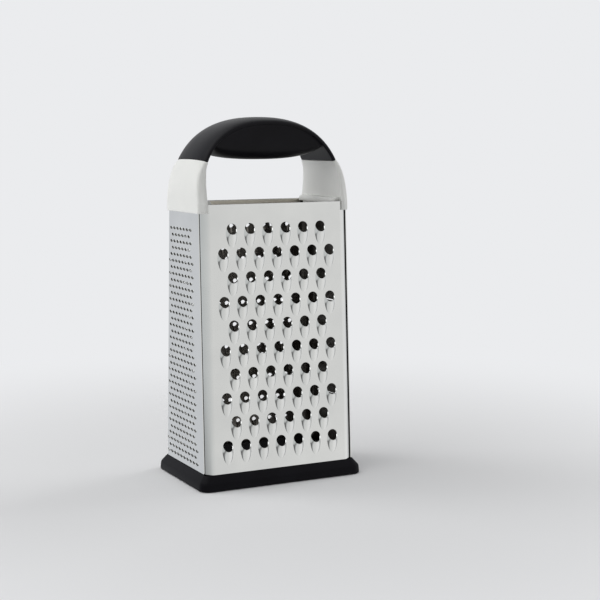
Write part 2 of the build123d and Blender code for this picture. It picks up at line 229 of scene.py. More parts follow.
def scoop(spec):
    # a hole whose lower edge is pushed out into a hood that closes to a rounded tip
    steps, rows = spec["steps"], spec["rows"]
    bow, toe = 2 / spec["power"], 2 / spec["toePower"]
    fillet, guard = spec["fillet"], box["guard"]
    profile = [(1 + fillet * out, up) for out, up in punch["footShares"]]
    for i in range(1, steps):
        turn = pi / 2 * i / steps
        if sin(turn) ** bow > punch["footTopShare"]:
            profile.append((cos(turn) ** bow, sin(turn) ** bow))
    profile.append((0.0, 1.0))
    profile += [(-u, w) for u, w in profile[-2::-1]]
    count = len(profile)
    verts, faces = [], []
    for u, w in profile:
        turn = atan2(w, u)
        side, down = signedPower(cos(turn), bow), abs(sin(turn)) ** bow
        verts.append((spec["halfWidth"] * side, -spec["lipDrop"] * down, spec["rise"] * down))
    for row in range(1, rows):
        turn = pi / 2 * row / rows
        along, wide = sin(turn) ** toe, cos(turn) ** toe
        crest = spec["rise"] * (1 - along) ** spec["ramp"]
        width = spec["halfWidth"] + spec["land"] * min(1.0, punch["widening"] * along)
        for u, w in profile:
            drop = spec["length"] * along + spec["lipDrop"] * w * (1 - along) ** 2
            verts.append((u * width * wide, -drop, w * crest))
        first = row * count
        bridge(faces, first - count, first, count, False)
    tip = len(verts)
    last = tip - count
    verts.append((0.0, -spec["length"], 0.0))
    faces += [(last + i, last + i + 1, tip) for i in range(count - 1)]

    outer = []  # flat border outside the hood, from one side of the hole round the tip
    for row in range(1, rows):
        u, v, _ = verts[row * count]
        turn = pi / 2 * row / rows
        outer.append((u + guard * cos(turn), v - guard * sin(turn), 0.0))
    point = (0.0, -spec["length"] - guard, 0.0)
    border = outer + [point] + [(-u, v, w) for u, v, w in outer[::-1]]
    edge = [row * count for row in range(1, rows)] + [tip]
    edge += [row * count + count - 1 for row in range(rows - 1, 0, -1)]
    start = len(verts)
    verts += border
    faces += [(edge[i], edge[i + 1], start + i + 1, start + i) for i in range(len(edge) - 1)]

    arc = []  # the rest of the hole, with its edge rolled in a little
    for i in range(2 * steps + 1):
        turn = pi * i / (2 * steps)
        arc.append((signedPower(cos(turn), bow), sin(turn) ** bow))
    rim = len(verts)
    many = len(arc)
    for extra, drop in ((0.0, spec["roll"]), (punch["rim"], 0.0), (guard + punch["rim"], 0.0)):
        wide, tall = spec["halfWidth"] + extra, spec["holeRise"] + extra
        for i, (u, v) in enumerate(arc):
            verts.append((wide * u, tall * v, -drop if 0 < i < many - 1 else 0.0))
    bridge(faces, rim, rim + many, many, False)
    bridge(faces, rim + many, rim + 2 * many, many, False)
    for hoodEnd, borderEnd, side in ((0, start, 0), (count - 1, start + len(border) - 1, many - 1)):
        outline = [rim + 2 * many + side, rim + many + side, rim + side]
        near = edge[0] if side == 0 else edge[-1]
        faces.append((outline[0], outline[1], near, borderEnd))
        faces.append((outline[1], hoodEnd, near))
    loop = [v[:2] for v in verts[rim + 2 * many:]] + [v[:2] for v in border[::-1]]
    return verts, faces, loop


def crater(spec):
    # a small hole burst outwards, with torn points round its mouth
    flank, flankUp = spec["flankShares"]
    neck, neckUp, neckTorn = spec["neckShares"]
    rings = [
        (spec["foot"] + spec["border"], 0.0, 0.0),
        (spec["foot"], 0.0, 0.0),
        (spec["foot"] * flank, flankUp, 0.0),
        (spec["mouth"] * neck, neckUp, neckTorn),
        (spec["mouth"], spec["notchShare"], 1.0),
    ]
    verts, faces = [], []
    count = spec["sides"]
    for radius, height, torn in rings:
        for i in range(count):
            turn = 2 * pi * i / count
            peak = (1 + cos(spec["points"] * turn)) / 2 * torn
            up = spec["rise"] * (height + spec["pointShare"] * peak)
            wide = radius * (1 - spec["pinchShare"] * peak)
            verts.append((wide * spec["stretch"] * cos(turn), wide * sin(turn), up))
    for ring in range(len(rings) - 1):
        bridge(faces, ring * count, (ring + 1) * count, count)
    return verts, faces, [v[:2] for v in verts[:count]]


def punched(outline, places, shape):
    verts, faces, loop = shape
    loops = [[(x + u, y + v) for x, y in loop] for u, v in places]
    parts = [flatRound(outline, loops)]
    for u, v in places:
        parts.append(([(x + u, y + v, w) for x, y, w in verts], faces))
    return joined(parts)


def staggered(spec):
    rows = int((box["panelHeight"] - spec["topMargin"] - spec["footMargin"]) / spec["row"]) + 1
    widest = int(2 * spec["patternHalf"] / spec["pitch"]) + 1
    places = []
    for level in range(rows):
        count = widest - 1 + level % 2
        up = box["panelHeight"] - spec["topMargin"] - level * spec["row"]
        places += [((column - (count - 1) / 2) * spec["pitch"], up) for column in range(count)]
    return places


def bentSheet(name, side, spec, places, shape):
    # front (side -1) or back (side 1) sheet: flat face, hemmed top edge, bent corners and flanges
    place, level, outward = sheetPlane(0, side)
    guard, bend, hem = box["guard"], box["bend"], box["hem"]
    low, high = box["steelFoot"], box["steelTop"]
    hemStart = high - hem

    def flatHalf(height):
        return halfWidth(height) - box["sheet"] - box["lapGap"] - bend

    bottom, top = level(low), level(hemStart)
    inner = top - guard
    innerHalf = flatHalf(hemStart - guard) - guard
    footHalf = flatHalf(low) - guard
    outline = [(-footHalf, bottom), (footHalf, bottom), (innerHalf, inner), (-innerHalf, inner)]
    flatVerts, flatFaces = punched(outline, places, shape)
    parts = [([place(*v) for v in flatVerts], flatFaces)]

    # up from the flat's top edge: guard, roll and turned-down leg
    profile = [(0.0, 0.0), (guard, 0.0)]
    for i in range(1, box["hemSteps"] + 1):
        turn = pi * i / box["hemSteps"]
        profile.append((guard + hem * sin(turn), -hem * (1 - cos(turn))))
    profile.append((guard - box["hemLeg"], -2 * hem))
    rings = [[place(end * innerHalf, inner + v, w) for v, w in profile] for end in (-1, 1)]
    parts.append(loft(rings, closed=False, caps=False))

    for end in (-1, 1):
        rings = []
        for height in (low, hemStart - guard, high):
            half, depth = flatHalf(height), halfDepth(height)
            ring = [(half - guard, -depth), (half, -depth)]
            for i in range(1, box["bendSteps"] + 1):
                turn = pi / 2 * i / box["bendSteps"]
                ring.append((half + bend * sin(turn), -depth + bend * (1 - cos(turn))))
            for run in (guard, box["flange"]):
                ring.append((half + bend, -depth + bend + run))
            rings.append([Vector((end * x, -side * y, height)) for x, y in ring])
        parts.append(loft(rings, closed=False, caps=False))
    made = makeObject(name, *joined(parts))
    for face in made.data.polygons:
        inward = (place(0, 0) - face.center / mm).dot(outward)
        parallel = abs(face.normal.dot(outward)) > cos(radians(spec["hemLean"]))
        if inward > spec["hemBehind"] and parallel:
            face.material_index = sheetSlots.index("hem")
    return thickened(made, place, outward, spec["thin"])


def sideSheet(name, side, spec, places, shape):
    place, level, outward = sheetPlane(side, 0)
    low, high = box["steelFoot"], box["steelTop"]
    foot, head = halfDepth(low) - spec["setback"], halfDepth(high) - spec["setback"]
    outline = [(-foot, level(low)), (foot, level(low)), (head, level(high)), (-head, level(high))]
    verts, faces = punched(outline, places, shape)
    made = makeObject(name, [place(*v) for v in verts], faces)
    return thickened(made, place, outward, spec["thin"])


bothBent = {
    "thin": 0.7,  # share of the sheet's thickness that is left in a hood
    "hemBehind": 0.825,  # how far the hem's leg lies behind the sheet, at least
    "hemLean": 25.8,  # degrees; the leg is more nearly parallel to the sheet than this
}
coarse = {
    "pitch": 12.3,
    "row": 15.04,
    "patternHalf": 40.2,
    "topMargin": 15.2,
    "footMargin": 16.3,
    "halfWidth": 3.3,
    "lipDrop": 3.6,
    "holeRise": 3.3,
    "rise": 1.9,
    "length": 11.6,
    "land": 0.6,
    "fillet": 0.09,
    "roll": 0.12,
    "power": 2.0,
    "toePower": 2.0,
    "ramp": 0.85,
    "steps": 10,
    "rows": 12,
    **bothBent,
}
coarsePanel = bentSheet("coarsePanel", -1, coarse, staggered(coarse), scoop(coarse))
print("coarse panel:", len(coarsePanel.data.polygons), "faces")

medium = {
    "pitch": 5.9,
    "row": 7.4,
    "patternHalf": 38.5,
    "topMargin": 17.25,
    "footMargin": 17.0,
    "halfWidth": 1.4,
    "lipDrop": 1.4,
    "holeRise": 1.4,
    "rise": 1.1,
    "length": 5.0,
    "land": 0.3,
    "fillet": 0.1,
    "roll": 0.08,
    "power": 2.0,
    "toePower": 1.8,
    "ramp": 1.1,
    "steps": 5,
    "rows": 5,
    **bothBent,
}
mediumPanel = bentSheet("mediumPanel", 1, medium, staggered(medium), scoop(medium))
print("medium panel:", len(mediumPanel.data.polygons), "faces")

fine = {
    "setback": 4.0,  # from the front plane to the edge of the sheet
    "pitch": 5.35,
    "row": 4.206,
    "follow": 1.2,  # how far the rows widen with the sheet
    "sideMargin": 16.4,
    "topMargin": 16.4,
    "footMargin": 4.3,
    "shift": -4.6,  # the pattern sits nearer the back edge
    "foot": 1.25,
    "mouth": 1.02,
    "stretch": 1.55,
    "rise": 0.34,
    "border": 0.21,
    "flankShares": (0.86, 0.22),  # of the foot, of the rise
    "neckShares": (1.12, 0.62, 0.3),  # of the mouth, of the rise, of the tearing
    "notchShare": 0.78,
    "pointShare": 0.35,  # how far the points stand above the notches
    "pinchShare": 0.12,  # how far the points lean in
    "points": 4,
    "sides": 16,
    "thin": 0.25,
}


def finePlaces(spec):
    rows = int((box["panelHeight"] - spec["topMargin"] - spec["footMargin"]) / spec["row"]) + 1
    places = []
    for level in range(rows):
        up = box["panelHeight"] - spec["topMargin"] - level * spec["row"]
        room = 2 * (spec["follow"] * halfDepth(box["ringTop"] + up) - spec["sideMargin"])
        most = int(room / spec["pitch"]) + 1
        count = most - (most + level + 1) % 2
        first = spec["shift"] - (count - 1) / 2 * spec["pitch"]
        places += [(first + column * spec["pitch"], up) for column in range(count)]
    return places


finePanel = sideSheet("finePanel", -1, fine, finePlaces(fine), crater(fine))
print("fine panel:", len(finePanel.data.polygons), "faces")

slicer = {
    "setback": 2.6,
    "row": 21.0,
    "topMargin": 25.5,
    "footMargin": 6.0,
    "halfWidth": 15.0,
    "lipDrop": 0.0,
    "holeRise": 1.4,
    "rise": 2.6,
    "length": 10.0,
    "land": 0.5,
    "fillet": 0.03,
    "roll": 0.15,
    "power": 4.5,
    "toePower": 4.0,
    "ramp": 1.1,
    "steps": 16,
    "rows": 16,
    "thin": 0.25,
}
slicerRoom = box["panelHeight"] - slicer["topMargin"] - slicer["footMargin"] - slicer["length"]
slicerPlaces = [
    (0, box["panelHeight"] - slicer["topMargin"] - level * slicer["row"])
    for level in range(int(slicerRoom / slicer["row"]) + 1)
]
slicerPanel = sideSheet("slicerPanel", 1, slicer, slicerPlaces, scoop(slicer))
print("slicer panel:", len(slicerPanel.data.polygons), "faces")


# handle and grip

handle = {
    "climb": 53.8,  # top of the grip above the steel's top edge
    "skirtDrop": 5.6,
    "skirt": 1.2,
    "strap": 5.0,
    "springRise": 2.4,
    "gripStart": 27.4,
    "gripHalfDepth": 20.5,
    "archPower": 2.35,
    "gripPower": 2.3,
    "shoulderPower": 14.0,
    "shoulderSlant": 3.3,  # how far the outer face stands back from the front edge
    "taperPower": 1.6,
    "edge": 0.7,
    "ledgeReach": 5.0,
    "ledgeHeight": 2.4,
    "ledgeHalf": 25.2,
    "ledgeSink": 1.2,
    "flare": 1.0,  # how much thicker the strap is at the skirt's lower edge
    "flareRise": 22.4,
    "flarePower": 4.0,
    "ledgeTrim": 0.8,
    "ledgeTrimShare": 0.5,
    "skirtBevel": 0.3,
    "slack": 0.001,  # what lies this near the inner face moves with it
    "crownSteps": 240,
    "crownPoints": 73,
    "edgeSteps": 4,
    "faceSteps": 8,
    "legSteps": 24,
    "skirtPoints": 121,
    "pocketSteps": 8,
    "ledgeSteps": 6,
    "edgeAngle": 38,
}
handle["outer"] = box["topWidth"] / 2 + handle["skirt"] + box["lapGap"]
handle["spring"] = box["steelTop"] + handle["springRise"]
handle["rise"] = box["steelTop"] + handle["climb"] - handle["spring"]
handle["gripHeight"] = box["steelTop"] + handle["gripStart"]
handle["inner"] = handle["outer"] - handle["strap"]


def archPoint(turn, inset=0.0):
    wide, tall = handle["outer"] - inset, handle["rise"] - inset
    power = handle["archPower"]
    x = wide * signedPower(cos(turn), 2 / power)
    z = tall * abs(sin(turn)) ** (2 / power)
    slopeX = signedPower(x / wide, power - 1) / wide
    slopeZ = abs(z / tall) ** (power - 1) / tall
    return Vector((x, 0, handle["spring"] + z)), Vector((slopeX, 0, slopeZ)).normalized()


def archTurn(height):
    share = ((height - handle["spring"]) / handle["rise"]) ** (handle["archPower"] / 2)
    return atan2(share, sqrt(1 - share**2))


def climb(height):
    return min(1.0, max(0.0, (height - box["steelTop"]) / handle["climb"]))


def strapHalfDepth(height):
    lap = handle["skirt"] + box["lapGap"]
    if height < box["steelTop"]:
        return halfDepth(height) + lap
    spare = box["topDepth"] / 2 + lap - handle["gripHalfDepth"]
    return handle["gripHalfDepth"] + spare * (1 - climb(height)) ** handle["taperPower"]


def flared(height):
    up = height - box["steelTop"] + handle["skirtDrop"]
    share = up / (handle["flareRise"] + handle["skirtDrop"])
    return handle["flare"] * max(0.0, 1 - share ** handle["flarePower"])


def crown(height, turn, trim=0.0):
    # one point of the strap's rounded side as (across, out from the inner face)
    blend = min(1.0, climb(height) / climb(handle["gripHeight"]))
    power = 2 / (handle["shoulderPower"] + (handle["gripPower"] - handle["shoulderPower"]) * blend)
    rise = abs(sin(turn)) ** power
    width = strapHalfDepth(height) - trim - handle["shoulderSlant"] * (1 - blend) * rise
    edge = handle["edge"]
    return width * signedPower(cos(turn), power), edge + (handle["strap"] - trim - edge) * rise


def crownLine(height, trim=0.0):
    steps = handle["crownSteps"]
    return [crown(height, pi * i / steps, trim) for i in range(steps + 1)]


def strapSection(point, normal):
    # flat inside, crowned outside, with softened inner edges
    halfSize, edge, flare = strapHalfDepth(point.z), handle["edge"], flared(point.z)
    ring = spread(crownLine(point.z), handle["crownPoints"])
    steps, across = handle["edgeSteps"], handle["faceSteps"]
    for i in range(1, steps + 1):
        turn = pi / 2 * i / steps
        ring.append((-halfSize + edge * (1 - cos(turn)), edge * (1 - sin(turn))))
    for i in range(1, across):
        ring.append((-halfSize + edge + 2 * (halfSize - edge) * i / across, 0.0))
    for i in range(steps):
        turn = pi / 2 * i / steps
        ring.append((halfSize - edge * (1 - sin(turn)), edge * (1 - cos(turn))))
    flat = edge + handle["slack"]
    ring = [(y, rise - flare if rise < flat else rise) for y, rise in ring]
    inner = point - normal * handle["strap"]
    return [inner + Vector((0, y, 0)) + normal * rise for y, rise in ring]


def spread(points, count):
    # the same line with its points evenly spaced
    line = np.array(points, float)
    lengths = np.r_[0, np.cumsum(np.linalg.norm(np.diff(line, axis=0), axis=1))]
    at = np.linspace(0, lengths[-1], count)
    return list(zip(np.interp(at, lengths, line[:, 0]), np.interp(at, lengths, line[:, 1])))


def leg(side):
    rings = []
    for share in (0.0, 0.5, 1.0):
        height = box["steelTop"] + handle["springRise"] * share
        point = Vector((side * handle["outer"], 0, height))
        rings.append(strapSection(point, Vector((side, 0, 0))))
    last, steps = archTurn(handle["gripHeight"]), handle["legSteps"]
    for step in range(1, steps + 1):
        turn = last * step / steps
        rings.append(strapSection(*archPoint(turn if side > 0 else pi - turn)))
    return loft(rings)


def skirtRings(side, height, trim):
    # outer wall of the shoulder and the wall of its pocket, at one height
    start = handle["inner"] - flared(height)
    outer = [(handle["inner"] + rise, y) for y, rise in crownLine(height, trim)]
    outer = [(start, outer[0][1])] + outer + [(start, outer[-1][1])]
    wide, deep = halfWidth(height) + box["lapGap"], halfDepth(height) + box["lapGap"]
    bend = box["corner"] + box["lapGap"]
    corner, steps = [], handle["pocketSteps"]
    for i in range(steps + 1):
        turn = pi / 2 * i / steps
        corner.append((wide - bend * (1 - sin(turn)), deep - bend * (1 - cos(turn))))
    pocket = [(start, deep), (wide - bend, deep)] + corner
    pocket += [(x, -y) for x, y in pocket[::-1]]
    rings = []
    for line in (outer, pocket):
        evenly = spread(line, handle["skirtPoints"])
        rings.append([Vector((side * x, y, height)) for x, y in evenly])
    return rings


def skirt(side):
    low, bevel = box["steelTop"] - handle["skirtDrop"], handle["skirtBevel"]
    bottom = skirtRings(side, low, bevel)
    lower = skirtRings(side, low + bevel, 0.0)
    upper = skirtRings(side, box["steelTop"], 0.0)
    rings = [upper[1], bottom[1], bottom[0], lower[0], upper[0], upper[1]]
    verts, faces = loft(rings, closed=False, caps=False)
    count = len(bottom[0])
    for end in (0, count - 1):
        faces.append(tuple(level * count + end for level in range(len(rings) - 1)))
    return verts, faces


def ledge(side):
    reach, height = handle["ledgeReach"], handle["ledgeHeight"]
    low, high = handle["inner"] - reach, handle["inner"] + handle["strap"] / 2
    half, edge, steps = handle["ledgeHalf"], handle["ledgeTrim"], handle["ledgeSteps"]
    profile = [(high, -handle["ledgeSink"]), (low, -handle["ledgeSink"])]
    for i in range(steps + 1):
        turn = pi / 2 * i / steps
        profile.append((low + height * (1 - cos(turn)), height * sin(turn)))
    profile += [(high, height)]
    rings = []
    for y, trim in ((-half, edge), (-half + edge, 0.0), (half - edge, 0.0), (half, edge)):
        lower = 1 - handle["ledgeTrimShare"] * trim / height
        ring = []
        for x, z in profile:
            inset = trim if x < handle["inner"] else 0.0
            ring.append(Vector((side * (x + inset), y, box["steelTop"] + z * lower)))
        rings.append(ring)
    return loft(rings)


handleParts = [leg(-1), leg(1), skirt(-1), skirt(1), ledge(-1), ledge(1)]
handlePiece = makeObject("handle", *joined(handleParts), sharpAngle=handle["edgeAngle"])
print("handle:", len(handlePiece.data.polygons), "faces")

grip = {
    "bellyHalf": 37.5,
    "bellyDepth": 19.3,
    "bellyDrop": 8.4,
    "bellyTip": 35.3,  # above the steel's top edge
    "bellyPower": 2.4,
    "bellyRound": 3.4,
    "bellyEnd": 0.985,
    "overlap": 1.2,
    "strapSteps": 72,
    "bellySteps": 48,
    "bellySides": 40,
    "weld": 0.0001,
    "voxel": 0.55,
    "softening": 6,
    "softFactor": 0.5,
    "edgeAngle": 60,
}


def strapOfGrip():
    start, steps = archTurn(handle["gripHeight"]), grip["strapSteps"]
    rings = []
    for step in range(steps + 1):
        rings.append(strapSection(*archPoint(start + (pi - 2 * start) * step / steps)))
    return loft(rings)


def belly():
    wide = handle["outer"] - handle["strap"]
    tall = handle["rise"] - handle["strap"]
    steps, sides, power = grip["bellySteps"], grip["bellySides"], 2 / grip["bellyRound"]
    rings = []
    for step in range(steps + 1):
        x = -grip["bellyHalf"] * grip["bellyEnd"] * cos(pi * step / steps)
        share = abs(x / wide) ** handle["archPower"]
        roof = handle["spring"] + tall * (1 - share) ** (1 / handle["archPower"]) + grip["overlap"]
        along = 1 - abs(x / grip["bellyHalf"]) ** grip["bellyPower"]
        bow = along ** (1 / grip["bellyPower"])
        depth = roof - (box["steelTop"] + grip["bellyTip"] - grip["bellyDrop"] * bow)
        ring = []
        for i in range(sides + 1):
            turn = pi * i / sides
            y = grip["bellyDepth"] * signedPower(cos(turn), power)
            ring.append(Vector((x, y, roof - depth * abs(sin(turn)) ** power)))
        rings.append(ring)
    return loft(rings)


gripPiece = makeObject("grip", *joined([strapOfGrip(), belly()]), weld=grip["weld"])
remesh = gripPiece.modifiers.new("oneSkin", "REMESH")
remesh.mode = "VOXEL"
remesh.voxel_size = grip["voxel"] * mm
soften = gripPiece.modifiers.new("soften", "SMOOTH")
soften.factor = grip["softFactor"]
soften.iterations = grip["softening"]
applied(gripPiece, grip["edgeAngle"])
print("grip:", len(gripPiece.data.polygons), "faces")


# foot ring

foot = {
    "flare": 4.6,
    "lip": 0.4,
    "slope": 4.4,
    "round": 1.0,
    "floor": 2.0,
    "corner": 6.5,
    "gap": 0.15,
    "wall": 3.75,  # from the box's line in to the foot's opening
    "openingCorner": 1.2,
    "knee": 0.7,  # reach of the soft edge where the wall meets the slope
    "kneeOut": 0.05,
    "kneeIn": 0.15,
    "lipCorner": 3.4,
    "lipSoft": 0.35,
    "lipDrop": 0.3,
    "slotCorner": 3.15,
    "slotDrop": 0.1,
    "roundSteps": 4,
    "cornerSteps": 10,
    "edgeAngle": 40,
}


def roundedRing(grow, radius, height):
    wide, deep = box["width"] / 2 + grow, box["depth"] / 2 + grow
    ring, steps = [], foot["cornerSteps"]
    for corner, (sx, sy) in enumerate(((1, 1), (-1, 1), (-1, -1), (1, -1))):
        for i in range(steps + 1):
            turn = pi / 2 * (corner + i / steps)
            ring.append(Vector((
                sx * (wide - radius) + radius * cos(turn),
                sy * (deep - radius) + radius * sin(turn),
                height,
            )))
    return ring


def footRing():
    flare, lip, top = foot["flare"], foot["lip"], box["ringTop"]
    soft, corner, steps = foot["round"], foot["corner"], foot["roundSteps"]
    opening = (-foot["wall"], foot["openingCorner"])
    slot = (foot["gap"], foot["slotCorner"])
    rings = [roundedRing(*opening, 0.0)]
    for i in range(steps + 1):
        turn = pi / 2 * i / steps
        grow = flare - soft * (1 - sin(turn))
        rings.append(roundedRing(grow, corner + grow - flare, soft * (1 - cos(turn))))
    wallTop, knee = top - foot["slope"], foot["knee"]
    wall, bend = flare - lip, corner - lip
    back = knee * (flare - 2 * lip) / foot["slope"]
    rings.append(roundedRing(wall + foot["kneeOut"], bend, wallTop - knee))
    rings.append(roundedRing(wall - foot["kneeIn"], bend, wallTop))
    rings.append(roundedRing(wall - back, bend - back, wallTop + knee))
    lipSoft, lipCorner = foot["lipSoft"], foot["lipCorner"]
    rings.append(roundedRing(lip + lipSoft, lipCorner + lipSoft, top - foot["lipDrop"]))
    rings.append(roundedRing(lip, lipCorner, top))
    rings.append(roundedRing(*slot, top - foot["slotDrop"]))
    rings.append(roundedRing(*slot, foot["floor"]))
    rings.append(roundedRing(*opening, foot["floor"]))
    rings.append(rings[0])
    return loft(rings, caps=False)


footPiece = makeObject("foot", *footRing(), sharpAngle=foot["edgeAngle"])
print("foot:", len(footPiece.data.polygons), "faces")


# finishes


class Wire:  # a shader socket that can be used in sums
    def __init__(self, tree, socket):
        self.tree, self.socket = tree, socket

    def beside(self, output):
        # another output of the same node
        return Wire(self.tree, self.socket.node.outputs[output])

    def sum(self, operation, first, second):
        made = self.tree.nodes.new("ShaderNodeMath")
        made.operation = operation
        for slot, value in zip(made.inputs, (first, second)):
            if isinstance(value, Wire):
                self.tree.links.new(value.socket, slot)
            else:
                slot.default_value = value
        return Wire(self.tree, made.outputs[0])

    def __add__(self, other):
        return self.sum("ADD", self, other)

    def __radd__(self, other):
        return self.sum("ADD", other, self)

    def __sub__(self, other):
        return self.sum("SUBTRACT", self, other)

    def __rsub__(self, other):
        return self.sum("SUBTRACT", other, self)

    def __mul__(self, other):
        return self.sum("MULTIPLY", self, other)

    def __rmul__(self, other):
        return self.sum("MULTIPLY", other, self)

    def __truediv__(self, other):
        return self.sum("DIVIDE", self, other)

    def __rtruediv__(self, other):
        return self.sum("DIVIDE", other, self)

    def __pow__(self, other):
        return self.sum("POWER", self, other)

    def __rpow__(self, other):
        return self.sum("POWER", other, self)


class Finish:  # a material or world under construction
    def __init__(self, owner):
        self.owner = owner
        owner.use_nodes = True
        self.tree = owner.node_tree
        self.tree.nodes.clear()

    def node(self, kind, settings, inputs, output=0):
        made = self.tree.nodes.new(kind)
        for name, value in settings.items():
            if name == "stops":
                ramp = made.color_ramp
                while len(ramp.elements) < len(value):
                    ramp.elements.new(0.5)  # put in its own place below
                for stop, (position, color) in zip(ramp.elements, value):
                    stop.position, stop.color = position, (*color, 1)
            else:
                setattr(made, name, value)
        for name, value in inputs.items():
            if isinstance(value, Wire):
                self.tree.links.new(value.socket, made.inputs[name])
            else:
                made.inputs[name].default_value = value
        return Wire(self.tree, made.outputs[output]) if made.outputs else None

    def clamp(self, value, low=0.0, high=1.0):
        return self.node("ShaderNodeClamp", {}, {"Value": value, "Min": low, "Max": high})

    def mixColor(self, factor, first, second):
        settings = {"data_type": "RGBA"}
        return self.node("ShaderNodeMix", settings, {0: factor, 6: first, 7: second}, 2)

    def scaled(self, color, tint):
        settings = {"data_type": "RGBA", "blend_type": "MULTIPLY"}
        return self.node("ShaderNodeMix", settings, {0: 1.0, 6: color, 7: tint}, 2)

    def angle(self, across, ahead):
        return self.node("ShaderNodeMath", {"operation": "ARCTAN2"}, {0: across, 1: ahead})

    def noise(self, where, scale, detail, rough):
        settings = {"Vector": where, "Scale": scale, "Detail": detail, "Roughness": rough}
        return self.node("ShaderNodeTexNoise", {}, settings)

    def stretched(self, where, scale):
        return self.node("ShaderNodeMapping", {}, {"Vector": where, "Scale": scale})

    def place(self):
        return self.node("ShaderNodeTexCoord", {}, {}, "Object")

    def clouded(self, where, look):
        # slow change over the surface, and the colour that follows it
        cloud = self.noise(where, look["cloudScale"], look["cloudDetail"], look["cloudRough"])
        tint = self.clamp((cloud - look["cloudFrom"]) * look["cloudGain"])
        return cloud, self.mixColor(tint, (*look["shade"], 1), (*look["light"], 1))

    def surface(self, fixed, color, rough, height, look):
        depth = {"Strength": look["bump"], "Distance": look["bumpDepth"], "Height": height}
        varied = {
            "Base Color": color,
            "Roughness": self.clamp(rough, look["leastRough"]),
            "Normal": self.node("ShaderNodeBump", {}, depth),
        }
        shader = self.node("ShaderNodeBsdfPrincipled", {}, {**fixed, **varied})
        self.node("ShaderNodeOutputMaterial", {}, {"Surface": shader})


noiseMiddle = 0.5


def newFinish(name):
    return Finish(bpy.data.materials.new(name))


def sheetSteel(name, look):
    made = newFinish(name)
    where = made.place()
    drawnOut = made.stretched(where, look["grainStretch"])
    grain = made.noise(drawnOut, look["grainScale"], look["grainDetail"], look["grainSoft"])
    cloud, color = made.clouded(where, look)
    rough = look["rough"] + (cloud - noiseMiddle) * look["roughSwing"]
    rough = rough + (grain - noiseMiddle) * look["grainRough"]
    made.surface({"Metallic": 1.0}, color, rough, grain, look)
    return made.owner


def mouldedPlastic(name, look):
    made = newFinish(name)
    where = made.place()
    pores = made.noise(where, look["poreScale"], look["poreDetail"], look["poreSoft"])
    cloud, color = made.clouded(where, look)
    rough = look["rough"] + (cloud - noiseMiddle) * look["roughSwing"]
    rough = rough + (pores - noiseMiddle) * look["poreRough"]
    fixed = {"IOR": look["ior"], "Specular IOR Level": look["gloss"]}
    made.surface(fixed, color, rough, pores, look)
    return made.owner


steelLook = {
    "shade": (0.70, 0.705, 0.70),
    "light": (0.78, 0.785, 0.775),
    "rough": 0.10,
    "roughSwing": 0.05,
    "grainRough": 0.04,
    "leastRough": 0.03,
    "grainStretch": (1.0, 1.0, 0.04),
    "grainScale": 1400.0,
    "grainDetail": 3.0,
    "grainSoft": 0.5,
    "cloudScale": 28.0,
    "cloudDetail": 3.0,
    "cloudRough": 0.6,
    "cloudFrom": 0.3,
    "cloudGain": 2.0,
    "bump": 0.12,
    "bumpDepth": 0.00002,  # metres, as the shader takes it
}
# inside faces of the sheets: steel painted far darker than steel is, as painted shade for the box's
# inside seen over the top edge and through the holes
paintedShadeInsideLook = {
    **steelLook,
    "shade": (0.17, 0.16, 0.145),
    "light": (0.25, 0.235, 0.215),
    "rough": 0.30,
    "roughSwing": 0.10,
}
hemLook = {
    **paintedShadeInsideLook,
    "shade": (0.66, 0.62, 0.54),
    "light": (0.74, 0.70, 0.61),
    "rough": 0.45,
}
screwLook = {**steelLook, "rough": 0.28, "grainScale": 900.0}
whiteLook = {
    "shade": (0.74, 0.745, 0.72),
    "light": (0.78, 0.785, 0.76),
    "rough": 0.36,
    "roughSwing": 0.08,
    "leastRough": 0.05,
    "poreRough": 0.06,
    "poreScale": 2600.0,
    "poreDetail": 2.0,
    "poreSoft": 0.6,
    "cloudScale": 35.0,
    "cloudDetail": 3.0,
    "cloudRough": 0.55,
    "cloudFrom": 0.3,
    "cloudGain": 2.2,
    "bump": 0.10,
    "bumpDepth": 0.00006,
    "ior": 1.5,
    "gloss": 0.5,
}
gripLook = {
    **whiteLook,
    "shade": (0.0036, 0.0033, 0.0048),
    "light": (0.0066, 0.0062, 0.0085),
    "rough": 0.40,
    "roughSwing": 0.10,
    "poreRough": 0.10,
    "cloudScale": 60.0,
    "poreScale": 3200.0,
    "bump": 0.22,
    "gloss": 0.12,
}
footLook = {**gripLook, "rough": 0.46, "cloudScale": 45.0, "gloss": 0.07}
frameLook = {
    **gripLook,
    "shade": (0.02, 0.02, 0.022),
    "light": (0.03, 0.03, 0.032),
    "rough": 0.5,
}

steelFinish = sheetSteel("polishedSheet", steelLook)
paintedShadeInsideFinish = sheetSteel("paintedShadeInsideSheet", paintedShadeInsideLook)
hemFinish = sheetSteel("turnedHem", hemLook)
screwFinish = sheetSteel("plainScrew", screwLook)
whiteFinish = mouldedPlastic("satinWhite", whiteLook)
gripFinish = mouldedPlastic("softBlack", gripLook)
footFinish = mouldedPlastic("footRubber", footLook)
frameFinish = mouldedPlastic("innerFrame", frameLook)
print("finishes ready")


def dress(piece, finish, node=None, inside=()):
    # a punched sheet has slots for its inside too, any other piece takes one finish
    materials = piece.data.materials
    if not inside:
        materials.clear()
        materials.append(finish)
    for index, part in enumerate((finish, *inside)):
        materials[index] = part
    if node:
        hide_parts(node)
        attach(piece, "root")


